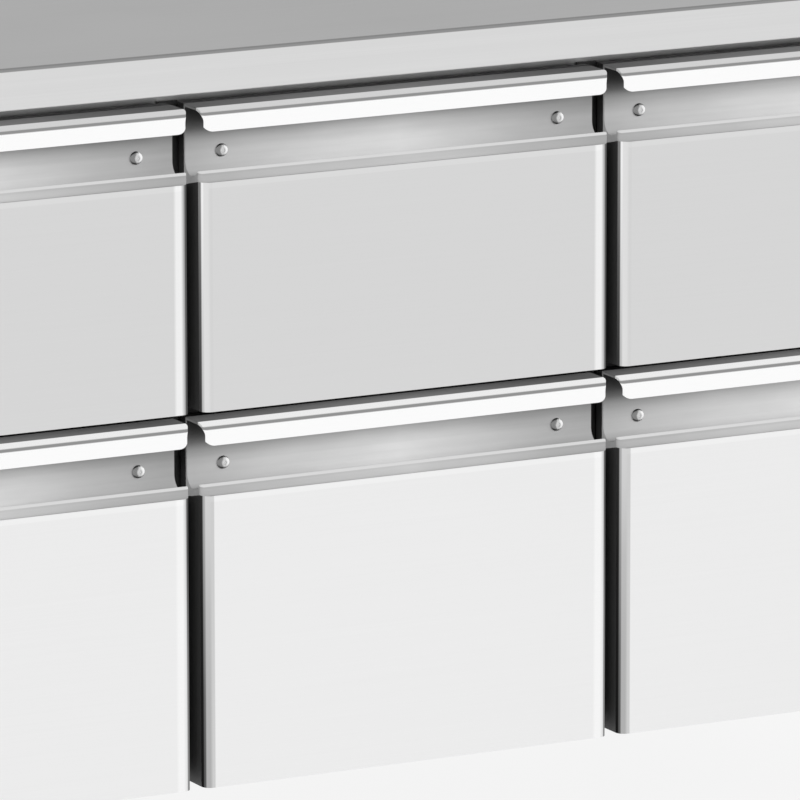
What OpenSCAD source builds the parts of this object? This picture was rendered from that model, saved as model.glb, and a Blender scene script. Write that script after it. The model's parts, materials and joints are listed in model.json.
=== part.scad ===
// Undercounter refrigerator with drawers: a worktop on a foamed cabinet,
// banks of two drawers, and a service end with the machine compartment.
// Millimetres. +Z is up, the fronts face -Y, and the floor is at Z = 0.
// The origin is on the floor under the middle of the worktop.

/* [Counter] */
// Height of the worktop's top face above the floor
counter_h = 865; // [820:5:950]
// Depth of the worktop, front to back
counter_d = 700; // [680:5:800]
// Height of the worktop's edge
worktop_t = 40; // [30:1:60]
// Bend radius along the worktop's front edges
worktop_r = 2.5; // [2:0.5:5]
// How far the worktop stands out past the drawer fronts
worktop_overhang = 12; // [4:1:30]
// Distance from the cabinet's back to the worktop's back edge
back_inset = 5; // [0:1:30]
// Folded sheet of the worktop, casing, frame and liner
sheet_t = 1.2; // [0.8:0.1:2]
// Foam in the top, the floor, the back and the partition
foam_t = 50; // [40:1:60]

/* [Banks] */
// Number of drawer banks
bank_count = 3; // [1:1:3]
// Width of one bank, from gap centre to gap centre
bank_pitch = 450; // [430:5:560]
// Clear width of the machine compartment
machine_w = 315; // [300:5:420]
// Width of the evaporator chamber beside the first bank
chamber_w = 90; // [86:1:140]
// Width of the post between two openings
post_w = 50; // [46:1:70]
// Depth of the posts
post_d = 60; // [40:1:80]
// Height of the bar between the upper and the lower opening
bar_h = 45; // [40:1:60]
// Extra width of the cabinet past the last bank
end_w = 30; // [20:1:60]

/* [Drawer fronts] */
// Gap between the fronts of two banks
front_gap_x = 13.5; // [8:0.5:20]
// Gap between the upper and the lower front
front_gap_z = 11; // [6:1:16]
// Gap between the worktop and the upper front
top_gap = 18; // [10:1:24]
// Gap between the cabinet's underside and the lower front
bottom_gap = 2; // [0:1:10]
// Height of the upper front, with its handle
upper_front_h = 290; // [260:5:320]
// Thickness of a drawer front without its gasket
front_t = 50; // [48:1:60]
// Radius of the steel face's upright edges
front_r = 9; // [6:0.5:12]
// Depth of the gasket between front and cabinet
gasket_t = 12; // [8:1:16]
// Width of the gasket all round
gasket_w = 12; // [8:1:14]
// How far the gasket stands clear of the opening's edge
gasket_lap = 1; // [0:0.5:3]
// Room between a closed gasket and the cabinet
gasket_gap = 0.4; // [0.3:0.1:1]
// Room between a black strip and the gaskets beside it
cap_clear = 1.5; // [1:0.5:3]
// Thickness of the black strips
cap_t = 3; // [2:0.5:5]

/* [Handle] */
// Height of the finger opening between the panel's top and the lip
finger_h = 48.5; // [40:0.5:60]
// Straight part at the lip's lower edge
lip_drop = 9.5; // [1:0.5:14]
// Radius of the lip's rounded face
lip_r = 12; // [10:1:24]
// Radius of the lip's lower corners
lip_corner_r = 12; // [2:0.5:14]
// Depth of the recess behind the front's face
recess_d = 36; // [30:0.5:42]
// Wall of the handle rail
rail_t = 2.5; // [2:0.5:4]
// Height of the rounded nose above the panel's top
nose_h = 10; // [7:0.5:14]
// Lowest point of the recess above the panel's top
floor_h = 3; // [2:0.5:5]
// Radius where the recess's floor meets its back
trough_r = 14; // [6:1:15]
// How far the rail's underside drops towards the back
rail_skirt = 7; // [3:1:12]
// Seam between the steel panel and the handle rail
seam = 0.6; // [0.3:0.1:1]
// Screw's distance from the end of the recess
screw_inset = 38; // [20:1:60]
// Screw's height above the panel's top
screw_h = 23; // [20:1:30]
// Radius of the screw's head
screw_head_r = 5.8; // [4:0.1:7]
// Radius of the screw's shank
screw_r = 2.5; // [1.5:0.1:3]

/* [Drawers] */
// Room behind a drawer's box for the cold air
box_room = 36.8; // [20:0.1:120]
// Room above the lower box, up to its opening's edge
lower_headroom = 57; // [30:1:90]
// Room above the upper box, up to its opening's edge
upper_headroom = 59; // [30:1:90]
// Room between the box and the opening's lower edge
box_lift = 12; // [6:1:20]
// Width of the box's folded rim
rim_w = 8; // [4:1:10]
// Corner radius of the box, seen from above
box_r = 12; // [4:1:20]
// Room behind the telescopic slides
slide_room = 33.8; // [20:0.1:140]
// Distance from the cabinet's face to the slides
slide_front = 6; // [2:1:12]
// Height of the slide's fixed member
slide_h = 46; // [44:1:50]
// Width that a slide takes beside the box
slide_w = 13; // [13:0.5:16]
// Height of the slide's centre line above the box's floor
slide_rise = 60; // [35:1:80]
// Room between a fixed member and the opening's edge
slide_clear = 4; // [2:0.5:8]
// Metal of the slides
slide_t = 1.4; // [1:0.1:1.5]
// Radius of the drain holes in a box's floor
drain_r = 5; // [3:0.5:8]

/* [Legs] */
// Height of the cabinet's underside above the floor
leg_h = 150; // [120:5:180]
// Radius of a leg
leg_r = 20; // [16:1:26]
// Distance from a leg's centre to the cabinet's sides
leg_inset = 62; // [40:1:90]
// Height of the screwed foot below the leg
foot_h = 34; // [24:1:50]
// Radius of the foot's pad
foot_r = 24; // [20:1:30]
// Height of the foot's pad
foot_pad_h = 10; // [6:1:14]
// Radius of the foot's threaded stem
stem_r = 8; // [5:0.5:10]
// How far the stem reaches into the leg
stem_in = 30; // [20:1:40]
// Height of the foot's lock nut
lock_nut_h = 12; // [8:1:14]
// Radius of the lock nut over its corners
lock_nut_r = 17; // [14:0.5:20]
// Width of the flange round the top of a leg
leg_flange_w = 18; // [10:1:30]
// Thickness of that flange
leg_flange_t = 4; // [3:0.5:6]

/* [Service end] */
// Depth of the front panel of the machine compartment
service_panel_d = 38; // [15:1:40]
// Number of louvres in that panel
louvre_count = 14; // [4:1:18]
// Height of one louvre
louvre_h = 7; // [4:1:9]
// Distance between louvres
louvre_pitch = 20; // [14:1:24]
// Distance from the louvres' ends to the compartment's sides
louvre_margin = 35; // [20:1:60]
// Height of the lowest louvre above the panel's foot
louvre_z = 40; // [20:1:80]
// Number of louvres in the back panel
back_louvre_count = 10; // [2:1:12]
// Distance from the back louvres' ends to the compartment's sides
back_louvre_margin = 55; // [30:1:80]
// Height and width of the panel's standoffs
standoff_w = 20; // [10:1:30]
// Radius of the cable gland's body
gland_r = 10; // [8:0.5:14]
// Height of the gland above the cabinet's underside
gland_h = 60; // [40:1:100]
// Distance of the gland from the compartment's middle
gland_side = 60; // [0:5:90]
// Width of the temperature controller's bezel
bezel_w = 96; // [80:1:120]
// Height of the bezel
bezel_h = 40; // [34:1:50]
// Radius of a controller key
key_r = 4.5; // [3:0.5:6]
// Travel of a key
key_travel = 1.2; // [0.8:0.1:2]
// Depth of the condenser
cond_t = 60; // [40:5:80]
// Room between the condenser and its compartment's sides
cond_side = 20; // [15:1:30]
// Radius of the condenser's fan
cond_fan_r = 105; // [80:1:110]
// Rim of the condenser round its fan
cond_rim = 20; // [10:1:30]
// Depth of the condenser's fan
cond_fan_t = 30; // [20:1:40]
// Radius of that fan's hub
cond_hub_r = 34; // [24:1:40]
// Length of the evaporator's coil
coil_l = 230; // [160:5:240]
// Height of the coil
coil_h = 300; // [200:5:340]
// Room between the coil and the chamber's walls
coil_side = 8; // [5:0.5:12]
// Radius of the evaporator's fan
evap_fan_r = 70; // [50:1:85]
// Depth of the evaporator's fan
evap_fan_t = 18; // [12:1:24]
// Radius of that fan's hub
evap_hub_r = 22; // [16:1:26]
// Radius of the compressor's shell
compressor_r = 88; // [70:1:100]
// Height of the compressor's shell
compressor_h = 190; // [150:5:230]
// Height of the shell's dome
compressor_dome_h = 57; // [30:1:80]
// Height of the rubber feet below the shell
compressor_rise = 26; // [20:1:40]
// Room between the compressor and the back panel
compressor_back = 90; // [20:5:140]
// Radius of the suction pipe
suction_r = 5; // [4:0.5:7]
// Radius of the liquid pipe
liquid_r = 3; // [2:0.5:4]

/* [Hidden] */
$fn = 48;
over = 5;            // how far a cutting solid runs past what it cuts
hair = 0.1;          // room between separate pieces that only just meet
shaft_clear = 0.3;   // room round a shaft or a key

// Along X
inner_w = bank_pitch - post_w;                       // width of an opening
service_w = machine_w + foam_t + chamber_w - post_w / 2;
total_w = service_w + bank_count * bank_pitch + end_w;
x_left = -total_w / 2;
x_right = total_w / 2;
banks_x = x_left + service_w;
partition_x = x_left + machine_w;                    // machine side of the foam
chamber_x = partition_x + foam_t;                    // cold side of the partition
bay_left = banks_x + post_w / 2;                     // first opening's left edge
bay_right = x_right - end_w - post_w / 2;            // last opening's right edge
function bank_x(i) = banks_x + (i + 0.5) * bank_pitch;

// Along Y
top_front = -counter_d / 2;
front_y = top_front + worktop_overhang;              // faces of the fronts
frame_y = front_y + front_t + gasket_t;              // face of the cabinet
back_y = counter_d / 2 - back_inset;
liner_y = frame_y + post_d;
liner_back = back_y - sheet_t - foam_t;

// Along Z
top_z = counter_h - worktop_t;                       // cabinet's top
cold_floor = leg_h + foam_t;
cold_top = top_z - foam_t;
handle_h = finger_h + lip_drop + lip_r;
front_w = bank_pitch - front_gap_x;
lower_z = leg_h + bottom_gap;
upper_z = top_z - top_gap - upper_front_h;
lower_front_h = upper_z - front_gap_z - lower_z;
bar_z = upper_z - front_gap_z / 2;                   // middle of the bar
nose_r = nose_h - seam;
rail_d = recess_d + rail_t;
seal_w = gasket_lap + gasket_w;                      // gasket's reach past an opening
rib_t = 3;                                           // gasket's foot, groove and sealing face
rib_w = 2;                                           // depth of the gasket's groove

// Values of the lower (0) and the upper (1) level
LEVELS = ["lower", "upper"];
function front_z(l) = l == 0 ? lower_z : upper_z;
function front_h(l) = l == 0 ? lower_front_h : upper_front_h;
function panel_h(l) = front_h(l) - handle_h;
function open_z(l) = l == 0 ? cold_floor : bar_z + bar_h / 2;
function open_top(l) = l == 0 ? bar_z - bar_h / 2 : cold_top;
function headroom(l) = l == 0 ? lower_headroom : upper_headroom;
function box_z(l) = open_z(l) + box_lift;
function box_h(l) = open_top(l) - headroom(l) - box_z(l);

// Boxes and slides
box_y = front_y + front_t;
box_d = liner_back - box_room - box_y;
box_w = inner_w - 2 * (slide_clear + slide_w);
slide_y = frame_y + slide_front;
slide_l = liner_back - slide_room - slide_y;
slide_inset = 3;                                     // box to the outer members' edges
member_gap = 1.2;                                    // between two members' webs
inner_reach = 7.5;                                   // how far the inner member stands out
ball_room = 4;                                       // for the balls between two members
mid_h = slide_h - 2 * slide_t - 2 * ball_room;
inner_h = mid_h - 2 * slide_t - 2 * ball_room;
upright_t = 2;                                       // sheet of the uprights
upright_d = 25;                                      // their size from front to back

// Screws of the handle rail
screw_rim_t = 1.2;                                   // straight part of the head
screw_dome_t = 1.6;                                  // domed part
screw_dome_r = 3.5;                                  // flat on top of the dome
screw_grip = 5;                                      // thread in the front's core

// Service end
service_panel_w = service_w - front_gap_x / 2 - hair;
service_panel_x = x_left + hair;
service_mid = partition_x - machine_w / 2;
bezel_drop = 20;                                     // bezel below the panel's top
controller_z = top_z - top_gap - bezel_h - bezel_drop;
bezel_t = 6;
bezel_rim = [6.5, 5.5];                              // bezel's reach past its housing
housing_d = 40;                                      // housing behind the bezel
display = [42, 18];                                  // window of the display
display_in = 8;                                      // its distance from the bezel's end
header_r = 9;                                        // tubes that the pipes enter
header_dip = 1;                                      // how far they sink into a coil
plate_t = 1.5;                                       // end plates of a coil
tube_r = 4;                                          // tubes through the fins
bend_r = 9;                                          // bends outside the end plates
bend_out = 3;                                        // fins to the bends' centres
bend_reach = bend_out + bend_r + tube_r;
coil_x = chamber_x + coil_side;
coil_w = chamber_w - 2 * coil_side - sheet_t;
coil_rise = 70;                                      // coil above the chamber's floor
coil_z = cold_floor + coil_rise;
coil_y = liner_back - coil_l - bend_reach - coil_side;
tray_h = 20;                                         // drip tray under the coil
tray_leg = 8;
cond_front = 14;                                     // front frame to the condenser
cond_y = frame_y + cond_front;
cond_w = machine_w - 2 * cond_side;
cond_h = 2 * (cond_fan_r + cond_rim);
cond_z = leg_h + cond_front;
cond_header = [service_mid, cond_y + cond_t / 2, cond_z + cond_h + header_r - header_dip];
shroud_t = 3;
fan_gap = 8;                                         // shroud to fan
fan_ring = 6;                                        // room round the tips of a fan
motor_gap = 7;                                       // fan to motor
motor_r = 38;
motor_l = 60;
arm_w = 12;                                          // arms that hold the motors
arm_in = 10;                                         // motor's end past its arms
cond_fan_y = cond_y + cond_t + shroud_t + fan_gap + cond_fan_t / 2;
cond_fan_z = cond_z + cond_h / 2;
cover_gap = 17;                                      // evaporator's cover to its fan
evap_motor_l = 32;
evap_fan_front = 30;                                 // front of the chamber to the fan
evap_fan_rise = 40;                                  // fan above the bar's middle
evap_fan_y = liner_y + evap_fan_front + evap_fan_r;
evap_fan_z = bar_z + evap_fan_rise;
evap_fan_x = bay_left - cover_gap - evap_fan_t / 2;
slot_l = 160;                                        // return slots of that cover
slot_h = 4;
slot_rise = 24;                                      // lowest slot above the floor
comp_y = back_y - compressor_r - compressor_back;
comp_z = leg_h + sheet_t + compressor_rise;
comp_top_r = 48;                                     // flat on top of the dome
comp_plate_t = 6;                                    // plate under the shell
comp_foot_r = 12;
terminal_box = [28, 50, 60];                         // electrical box beside the shell
terminal_z = 40;                                     // its height on the shell
pipe_back = 60;                                      // foam of the back to the pipes
pipe_y = back_y - foam_t - pipe_back;
pipe_step = 30;                                      // between the two pipes' holes
pipe_drop = 60;                                      // chamber's top to the suction pipe
pipe_rise = 20;                                      // step between crossing pipes
pipe_in = 15;                                        // how far they enter the shell
suction_z = cold_top - pipe_drop;
liquid_z = suction_z - 2 * pipe_rise;
key_x = [18, 34];
key_well = 2;                                        // depth of a key's well behind the bezel

// Nodes of the fixed part, then one of each kind for every drawer
FIXED = ["worktop", "worktop_core", "back_panel", "end_panels", "base_panel",
    "cabinet_insulation", "inner_liner", "front_frame", "mullion_caps",
    "runner_uprights", "fixed_runners", "legs", "levelling_feet",
    "service_panel", "controller", "key_up", "key_down", "compressor",
    "condenser", "condenser_fan", "evaporator", "evaporator_cover",
    "evaporator_fan", "refrigerant_pipes"];
KINDS = ["front_skin", "handle_rail", "front_core", "gasket", "drawer_box",
    "middle_slides"];
function drawer_name(l, i) = str(LEVELS[l], "_", i + 1);

// ---- Helpers ----

// A box given by its lowest and highest corners
module block(a, b) {
    translate(a) cube(b - a);
}

// Outline in Y and Z, drawn out along X and centred
module along_x(w) {
    rotate([90, 0, 90]) translate([0, 0, -w / 2]) linear_extrude(w) children();
}

// What a rounded corner takes away: a square less its quarter disc
module corner_cut(r, h) {
    difference() {
        translate([-over, -over, 0]) cube([r + over, r + over, h]);
        translate([r, r, -over]) cylinder(r = r, h = h + 2 * over);
    }
}

// Cuts for the two upright front edges of a piece of width w
module front_edge_cuts(w, r, h) {
    for (s = [0, 1]) mirror([s, 0, 0])
        translate([-w / 2, 0, -over]) corner_cut(r, h + 2 * over);
}

// One opening of the cabinet, grown by g on every side
module opening(i, l, g, y0, y1) {
    block([bank_x(i) - inner_w / 2 - g, y0, open_z(l) - g],
          [bank_x(i) + inner_w / 2 + g, y1, open_top(l) + g]);
}

module all_openings(g, y0, y1) {
    for (i = [0:bank_count - 1]) for (l = [0, 1]) opening(i, l, g, y0, y1);
}

// Puts a drawer's own frame in place: X centred, Y = 0 on the face, Z = 0 at its foot
module at_front(i, l) {
    translate([bank_x(i), front_y, front_z(l)]) children();
}

// ---- Worktop and casing ----

module worktop() color("silver") difference() {
    block([x_left, top_front, top_z], [x_right, counter_d / 2, counter_h]);
    block([x_left + sheet_t, frame_y, top_z - over],
          [x_right - sheet_t, counter_d / 2 - sheet_t, counter_h - sheet_t]);
    block([x_left + sheet_t, top_front + sheet_t, top_z + sheet_t],
          [x_right - sheet_t, frame_y + over, counter_h - sheet_t]);
    for (z = [0, 1]) translate([x_left - over, top_front, z == 0 ? top_z : counter_h])
        mirror([0, 0, z]) rotate([0, -90, 0]) mirror([0, 0, 1])
            corner_cut(worktop_r, total_w + 2 * over);
}

module worktop_core() color("burlywood") union() {
    block([x_left + sheet_t, frame_y, top_z],
          [x_right - sheet_t, counter_d / 2 - sheet_t, counter_h - sheet_t]);
    block([x_left + sheet_t, top_front + 2 * worktop_r, top_z + sheet_t],
          [x_right - sheet_t, frame_y + hair, counter_h - sheet_t]);
}

module at_gland() {
    translate([service_mid + gland_side, back_y, leg_h + gland_h])
        rotate([-90, 0, 0]) children();
}

// Back with its louvres, and the cable gland with a flange and a nut inside
module back_panel() color("gainsboro") {
    flange_r = gland_r + 4;
    flange_t = 4;
    nut_t = 5;
    difference() {
        block([x_left, back_y - sheet_t, leg_h + sheet_t], [x_right, back_y, top_z]);
        for (k = [0:back_louvre_count - 1])
            translate([service_mid, back_y, cold_top - louvre_z - k * louvre_pitch])
                cube([machine_w - 2 * back_louvre_margin, 4 * sheet_t, louvre_h],
                     center = true);
        at_gland() cylinder(r = gland_r + hair, h = 4 * sheet_t, center = true);
    }
    at_gland() difference() {
        union() {
            translate([0, 0, -3 * nut_t]) cylinder(r = gland_r, h = 3 * nut_t + 2 * hair);
            translate([0, 0, hair]) cylinder(r = flange_r, h = flange_t);
            translate([0, 0, -sheet_t - hair - nut_t])
                cylinder(r = flange_r, h = nut_t, $fn = 6);
        }
        cylinder(r = gland_r / 2, h = 6 * gland_r, center = true);
    }
}

module end_panels() color("lightgray") {
    for (x = [x_left, x_right - sheet_t])
        block([x, frame_y + sheet_t, leg_h + sheet_t],
              [x + sheet_t, back_y - sheet_t, top_z]);
    // Sheet on the machine side of the partition
    difference() {
        block([partition_x, frame_y + sheet_t, leg_h + sheet_t],
              [partition_x + sheet_t, back_y - sheet_t, top_z]);
        pipe_holes();
    }
}

module base_panel() color("darkgray")
    block([x_left, frame_y, leg_h], [x_right, back_y, leg_h + sheet_t]);

module cabinet_insulation() color("khaki") difference() {
    block([partition_x + sheet_t, frame_y + sheet_t, leg_h + sheet_t],
          [x_right - sheet_t, back_y - sheet_t, top_z]);
    block([chamber_x - sheet_t, liner_y, cold_floor - sheet_t],
          [bay_right + sheet_t, liner_back + sheet_t, cold_top + sheet_t]);
    all_openings(sheet_t, frame_y - over, liner_y + over);
    pipe_holes();
}

module inner_liner() color("whitesmoke") difference() {
    block([chamber_x - sheet_t, liner_y, cold_floor - sheet_t],
          [bay_right + sheet_t, liner_back + sheet_t, cold_top + sheet_t]);
    block([chamber_x, liner_y + sheet_t, cold_floor],
          [bay_right, liner_back, cold_top]);
    all_openings(0, liner_y - over, liner_y + 2 * over);
    pipe_holes();
}

// Face of the cabinet, folded back into every opening, and the compartment's frame
module front_frame() color("silver") {
    margin = 25;
    difference() {
        union() {
            block([x_left, frame_y, leg_h + sheet_t],
                  [x_right, frame_y + sheet_t, top_z]);
            all_openings(sheet_t, frame_y, liner_y);
        }
        all_openings(0, frame_y - over, liner_y + over);
        block([x_left + margin, frame_y - over, leg_h + margin],
              [partition_x - margin, frame_y + over, top_z - margin]);
    }
}

// Black strips between the gaskets: one upright at each gap, one level in each bank
module mullion_caps() color("black") {
    half_w = post_w / 2 - seal_w - cap_clear;
    half_h = bar_h / 2 - seal_w - cap_clear;
    banks_end = banks_x + bank_count * bank_pitch;
    for (i = [0:bank_count]) {
        x = banks_x + i * bank_pitch;
        block([max(banks_x, x - half_w), frame_y - cap_t, lower_z + 2 * cap_t],
              [min(banks_end, x + half_w), frame_y, top_z - top_gap]);
        if (i < bank_count)
            block([x + half_w + hair, frame_y - cap_t, bar_z - half_h],
                  [x + bank_pitch - half_w - hair, frame_y, bar_z + half_h]);
    }
}

// ---- Drawer slides in the cabinet ----

// A post of folded sheet, or a flat bar where there is no room for one
module upright(x0, x1, y0) {
    difference() {
        block([x0, y0, cold_floor], [x1, y0 + upright_d, cold_top]);
        if (x1 - x0 > 4 * upright_t)
            block([x0 + upright_t, y0 + upright_t, cold_floor - over],
                  [x1 - upright_t, y0 + upright_d - upright_t, cold_top + over]);
    }
}

module runner_uprights() color("gray")
    for (y = [liner_y + sheet_t, slide_y + slide_l - upright_d]) {
        upright(bay_left, bay_left + slide_clear, y);
        upright(bay_right - slide_clear, bay_right, y);
        if (bank_count > 1) for (i = [0:bank_count - 2])
            upright(bank_x(i) + inner_w / 2 - slide_clear,
                    bank_x(i + 1) - inner_w / 2 + slide_clear, y);
    }

// A channel that opens towards the box: u is measured out from the box's side
module channel(u0, u1, h, web_out) {
    web = web_out ? u1 - slide_t : u0;
    translate([u0, 0, h / 2 - slide_t]) cube([u1 - u0, slide_l, slide_t]);
    translate([u0, 0, -h / 2]) cube([u1 - u0, slide_l, slide_t]);
    translate([web, 0, -h / 2]) cube([slide_t, slide_l, h]);
}

// Both sides of one drawer, at the slide's height
module both_sides(l) {
    for (s = [0, 1]) mirror([s, 0, 0])
        translate([box_w / 2, slide_y, box_z(l) + slide_rise]) children();
}

module fixed_runners() color("dimgray")
    for (i = [0:bank_count - 1]) for (l = [0, 1]) translate([bank_x(i), 0, 0])
        both_sides(l) channel(slide_inset, slide_w, slide_h, true);

module middle_slides(i, l) color("darkgray") translate([bank_x(i), 0, 0])
    both_sides(l) channel(slide_inset, slide_w - slide_t - member_gap, mid_h, true);

// ---- Drawer fronts ----

// Steel face: a shallow tray with rounded upright edges
module front_skin(i, l) color("gainsboro") at_front(i, l) difference() {
    h = panel_h(l);
    block([-front_w / 2, 0, 0], [front_w / 2, front_r, h]);
    front_edge_cuts(front_w, front_r, h);
    difference() {
        block([-front_w / 2 + sheet_t, sheet_t, sheet_t],
              [front_w / 2 - sheet_t, front_r + over, h - sheet_t]);
        translate([0, sheet_t, 0])
            front_edge_cuts(front_w - 2 * sheet_t, front_r - sheet_t, h);
    }
}

// Section of the handle rail: X is the depth, Y the height above the panel
module rail_section() {
    lip_z = handle_h - lip_r;
    trough_x = recess_d - trough_r;
    difference() {
        union() {
            polygon([[2 * seam, 0], [front_r, 0], [rail_d, -rail_skirt],
                     [rail_d, handle_h], [lip_r, handle_h], [lip_r, nose_h],
                     [nose_r, nose_h], [nose_r, seam], [2 * seam, seam]]);
            intersection() {
                translate([nose_r, seam]) circle(r = nose_r);
                translate([0, seam]) square([nose_r, nose_r]);
            }
            intersection() {
                translate([lip_r, lip_z]) circle(r = lip_r);
                translate([0, lip_z]) square([lip_r, lip_r]);
            }
            translate([0, finger_h]) square([lip_r, lip_drop]);
        }
        intersection() {
            translate([lip_r, lip_z]) circle(r = lip_r - rail_t);
            translate([rail_t, lip_z]) square([lip_r, lip_r]);
        }
        translate([rail_t, finger_h - over]) square([lip_r, lip_drop + over]);
        translate([lip_r - hair, lip_z])
            square([recess_d - lip_r + hair, lip_r - rail_t]);
        translate([trough_x, floor_h + trough_r]) circle(r = trough_r);
        translate([trough_x, floor_h + trough_r])
            square([trough_r, lip_z - floor_h - trough_r + hair]);
        polygon([[nose_r, nose_h], [trough_x, floor_h], [trough_x, lip_z + hair],
                 [nose_r, lip_z]]);
    }
}

// Places both handle screws, on the back of the recess
module at_screws(l) {
    for (s = [-1, 1])
        translate([s * (front_w / 2 - screw_inset), 0, panel_h(l) + screw_h])
            rotate([-90, 0, 0]) children();
}

module handle_rail(i, l) color("white") at_front(i, l) {
    difference() {
        translate([0, 0, panel_h(l)]) along_x(front_w) rail_section();
        front_edge_cuts(front_w, front_r, front_h(l));
        for (s = [0, 1]) mirror([s, 0, 0])
            translate([-front_w / 2, -over, panel_h(l) + finger_h])
                rotate([-90, 0, 0]) mirror([0, 1, 0])
                    corner_cut(lip_corner_r, lip_r + over);
        at_screws(l) translate([0, 0, recess_d - over])
            cylinder(r = screw_r + hair, h = rail_t + 2 * over);
    }
    // Screws that hold the rail to the front, with a flat domed head
    at_screws(l) translate([0, 0, recess_d - hair]) union() {
        translate([0, 0, -screw_rim_t]) cylinder(r = screw_head_r, h = screw_rim_t);
        translate([0, 0, -screw_rim_t - screw_dome_t])
            cylinder(r1 = screw_dome_r, r2 = screw_head_r, h = screw_dome_t);
        cylinder(r = screw_r, h = rail_t + screw_grip + hair);
    }
}

// Black surround, foam and back of a front, behind the steel face and the rail
module front_core(i, l) color([0.08, 0.08, 0.08]) at_front(i, l) difference() {
    union() {
        difference() {
            block([-front_w / 2 + sheet_t, sheet_t, sheet_t],
                  [front_w / 2 - sheet_t, front_r + hair, panel_h(l) - sheet_t]);
            translate([0, sheet_t, 0])
                front_edge_cuts(front_w - 2 * sheet_t, front_r - sheet_t, panel_h(l));
        }
        along_x(front_w)
            polygon([[front_r, 0], [front_t, 0], [front_t, front_h(l)],
                     [rail_d, front_h(l)], [rail_d, panel_h(l) - rail_skirt],
                     [front_r, panel_h(l)]]);
    }
    at_screws(l) translate([0, 0, rail_d - over])
        cylinder(r = screw_r + hair, h = screw_grip + over + 2 * hair);
}

module gasket(i, l) color("dimgray") difference() {
    y1 = frame_y - gasket_gap;
    opening(i, l, seal_w, box_y, y1);
    opening(i, l, gasket_lap, box_y - over, y1 + over);
    // Groove round the bellows
    difference() {
        opening(i, l, seal_w + over, box_y + rib_t, box_y + 2 * rib_t);
        opening(i, l, seal_w - rib_w, box_y, y1);
    }
}

// Box with rounded corners, a folded rim and the slides' inner members
module drawer_box(i, l) color("silver") {
    h = box_h(l);
    translate([bank_x(i), box_y, box_z(l)]) difference() {
        union() {
            difference() {
                block([-box_w / 2, 0, 0], [box_w / 2, box_d, h]);
                box_corner_cuts(box_w, box_r, box_d, h);
            }
            block([-box_w / 2 - rim_w, 0, h - sheet_t], [box_w / 2 + rim_w, box_d, h]);
        }
        difference() {
            block([-box_w / 2 + sheet_t, sheet_t, sheet_t],
                  [box_w / 2 - sheet_t, box_d - sheet_t, h + over]);
            translate([0, -sheet_t, 0])
                box_corner_cuts(box_w - 2 * sheet_t, box_r - sheet_t, box_d, h + over);
        }
        // Drain holes in the floor
        for (x = [-1:1]) for (y = [1:3])
            translate([x * box_w / 4, y * box_d / 4, -over])
                cylinder(r = drain_r, h = 3 * over);
    }
    translate([bank_x(i), 0, 0]) both_sides(l) channel(-hair, inner_reach, inner_h, false);
}

// Rounds the two back corners of the box
module box_corner_cuts(w, r, d, h) {
    for (s = [0, 1]) mirror([s, 0, 0]) translate([-w / 2, d, -over])
        mirror([0, 1, 0]) corner_cut(r, h + 2 * over);
}

// ---- Legs ----

module at_legs() {
    for (x = [x_left + leg_inset, x_right - leg_inset])
        for (y = [frame_y + leg_inset, back_y - leg_inset])
            translate([x, y, 0]) children();
}

module legs() color("lightgray") at_legs() difference() {
    union() {
        translate([0, 0, foot_h]) cylinder(r = leg_r, h = leg_h - foot_h);
        translate([0, 0, leg_h - leg_flange_t])
            cylinder(r = leg_r + leg_flange_w, h = leg_flange_t);
    }
    translate([0, 0, foot_h - over])
        cylinder(r = stem_r + shaft_clear, h = 2 * stem_in + over);
}

// Pad, threaded stem and lock nut
module levelling_feet() color("gray") at_legs() union() {
    cylinder(r = foot_r, h = foot_pad_h);
    translate([0, 0, foot_h - lock_nut_h - hair])
        cylinder(r = lock_nut_r, h = lock_nut_h, $fn = 6);
    translate([0, 0, foot_pad_h - hair])
        cylinder(r = stem_r, h = foot_h + stem_in - foot_pad_h);
}

// ---- Service end ----

// Shallow steel tray like the drawer fronts' faces
module service_tray(z0, z1) {
    mid = service_panel_x + service_panel_w / 2;
    x1 = service_panel_x + service_panel_w;
    difference() {
        block([service_panel_x, front_y, z0], [x1, front_y + service_panel_d, z1]);
        translate([mid, front_y, z0]) front_edge_cuts(service_panel_w, front_r, z1 - z0);
        difference() {
            block([service_panel_x + sheet_t, front_y + sheet_t, z0 + sheet_t],
                  [x1 - sheet_t, front_y + service_panel_d + over, z1 - sheet_t]);
            translate([mid, front_y + sheet_t, z0])
                front_edge_cuts(service_panel_w - 2 * sheet_t, front_r - sheet_t, z1 - z0);
        }
    }
}

module service_panel() color("gainsboro") difference() {
    z0 = lower_z;
    z1 = top_z - top_gap;
    mid = service_panel_x + service_panel_w / 2;
    inset = front_r + over;
    union() {
        service_tray(z0, z1);
        // Standoffs between the panel and the cabinet's frame
        for (x = [service_panel_x + inset,
                  service_panel_x + service_panel_w - inset - standoff_w])
            for (z = [z0 + louvre_z, z1 - louvre_z - standoff_w])
                block([x, front_y + sheet_t - hair, z],
                      [x + standoff_w, frame_y, z + standoff_w]);
    }
    for (k = [0:louvre_count - 1])
        translate([service_mid, front_y, z0 + louvre_z + k * louvre_pitch])
            cube([machine_w - 2 * louvre_margin, 4 * sheet_t, louvre_h], center = true);
    translate([mid, front_y, controller_z + bezel_h / 2])
        cube([bezel_w - 2 * bezel_rim[0] + 1, 2 * over, bezel_h - 2 * bezel_rim[1] + 1],
             center = true);
}

module at_controller() {
    translate([service_panel_x + service_panel_w / 2, front_y, controller_z + bezel_h / 2])
        rotate([90, 0, 0]) children();
}

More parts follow.
